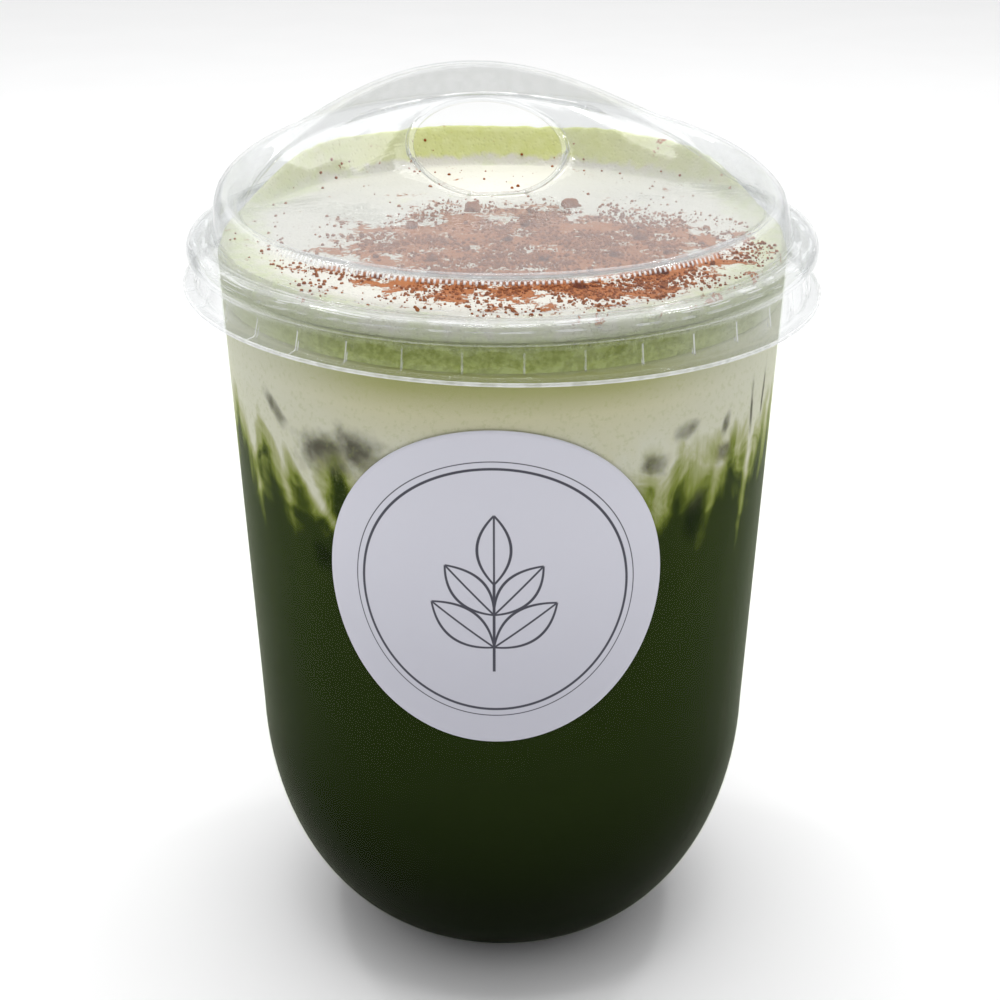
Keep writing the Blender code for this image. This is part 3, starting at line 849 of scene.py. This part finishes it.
# %% Drop the lumps
LUMP_COUNT = 34
LUMP_CENTRE = (6.0, -12.0)
LUMP_AREA = (30.0, 23.0)
GOLDEN_TURN = math.pi * (3 - math.sqrt(5))
draw = random.Random(11)
lump_points = []
for number in range(LUMP_COUNT):
    reach_out = math.sqrt((number + 0.5) / LUMP_COUNT)
    angle = number * GOLDEN_TURN
    px = LUMP_CENTRE[0] + LUMP_AREA[0] * reach_out * math.cos(angle) + draw.uniform(-0.8, 0.8)
    py = LUMP_CENTRE[1] + LUMP_AREA[1] * reach_out * math.sin(angle) + draw.uniform(-0.8, 0.8)
    # The CAD model draws a size and a turn here. The same draws keep the next lump on the CAD model's place.
    draw.random(), draw.uniform(0, math.pi), draw.random(), draw.random()
    lump_points.append((px * MM, py * MM, (foam_height(px, py) + 0.25) * MM))
lump_mesh = bpy.data.meshes.new("lump_points")
lump_mesh.from_pydata(lump_points, [], [])
lump_base = bpy.data.objects.new("lump_points", lump_mesh)
bpy.context.scene.collection.objects.link(lump_base)
lumps = scatter("cocoa_lumps", lump_base, False, Smallest=0.0003, Largest=0.0013, Roughness=0.0016,
                Detail=3, Seed=2, Material=cocoa_paint)
dress(lumps, cocoa_paint, "cream_foam")

# %% [markdown]
# ## Sticker
#
# A round paper sticker, two inches across, is bent round the tapered wall. Its print is drawn in the shader
# from the sticker's own flat map, so that it follows the bend: a thin ring and a plain sprig of leaves in
# dark ink on pale grey-lilac paper.

# %% Make the sticker
STICKER_RADIUS = 25.4
STICKER_Z = 79.0
STICKER_SHIFT = -1.2
STICKER_BACK, STICKER_FACE = 0.03, 0.19
MAP_SIZE = 60.0


def on_wall(across, up, lift):
    """A point of the flat sticker, moved onto the cup's wall and lifted off it."""
    height = STICKER_Z + up
    radius = float(bowl_radius(height))
    turn = (across + STICKER_SHIFT) / radius
    return ((radius + lift) * math.sin(turn), -(radius + lift) * math.cos(turn), height)


sticker_turns = turns(128)
flat_rings, sticker_rings = [], []
back_radii = np.linspace(1.0, STICKER_RADIUS, 20)
face_radii = np.linspace(25.35, 1.0, 40)
for lift, radii in ((STICKER_BACK, back_radii), (STICKER_FACE, face_radii)):
    for radius in radii:
        flat = ring(sticker_turns, radius, 0.0)
        flat_rings.append(flat)
        sticker_rings.append(np.array([on_wall(px, py, lift) for px, py, _ in flat]))
sticker = skin("sticker", sticker_rings, on_wall(0, 0, STICKER_BACK), on_wall(0, 0, STICKER_FACE))
flat_points = np.concatenate(flat_rings + [np.zeros((2, 3))])
flat_map = sticker.data.uv_layers.new(name="flat")
for loop in sticker.data.loops:
    px, py, _ = flat_points[loop.vertex_index]
    flat_map.data[loop.index].uv = (0.5 + px / MAP_SIZE, 0.5 + py / MAP_SIZE)

# %% Print on the sticker
paper, paint = new_material("sticker_paper")
uv = paint.node("ShaderNodeUVMap", uv_map="flat")
u, v, _ = uv.split()
u = (u - 0.5) * MAP_SIZE
v = (v - 0.5) * MAP_SIZE
reach = paint.math("SQRT", u * u + v * v)


def line(distance, width):
    """Ink where a distance in millimetres is under half a line's width."""
    return distance.size().step(width / 2 - 0.06, width / 2 + 0.06, 1.0, 0.0)


def leaf(root_u, root_v, lean, length, half_width):
    """The outline and midrib of one leaf, between two arcs."""
    c, s = math.cos(math.radians(lean)), math.sin(math.radians(lean))
    along = (u - root_u) * s + (v - root_v) * c
    across = (u - root_u) * c - (v - root_v) * s
    share = along / length
    belly = (share * (1.0 - share) * 4.0).high(0.0)
    outline = line(across.size() - belly * half_width, 0.42)
    rib = line(across, 0.3)
    within = along.step(-0.2, 0.1) * along.step(length - 0.1, length + 0.2, 1.0, 0.0)
    return outline.high(rib) * within


ink = line(reach - 19.6, 0.4)
ink = ink.high(line(reach - 20.7, 0.16))
for root_v, lean, length, half_width in ((-9.0, 52, 11.5, 2.7), (-9.0, -52, 11.5, 2.7), (-3.6, 42, 10.5, 2.4),
                                         (-3.6, -42, 10.5, 2.4), (1.4, 0, 11.0, 2.4)):
    ink = ink.high(leaf(0.0, root_v, lean, length, half_width))
stem = line(u, 0.42) * v.step(-13.2, -13.0) * v.step(1.5, 1.7, 1.0, 0.0)
ink = ink.high(stem)
fibres = paint.place().noise(1.8, 4.0, 0.7)
# Painted shade: the paper is darker towards its bottom, against the light that the floor throws up onto it.
shaded_paper_colour = v.step(-26.0, 14.0).blend((0.565, 0.565, 0.635), (0.70, 0.70, 0.775))
print_colour = (ink * 0.93).blend(shaded_paper_colour, (0.018, 0.018, 0.036))
sticker_shader = principled(paint, Base_Color=print_colour, Roughness=0.55, Specular_IOR_Level=0.3,
                            Normal=fibres.bump(0.00002))
finish_material(paint, sticker_shader)
dress(sticker, paper, "label_paper", "label")
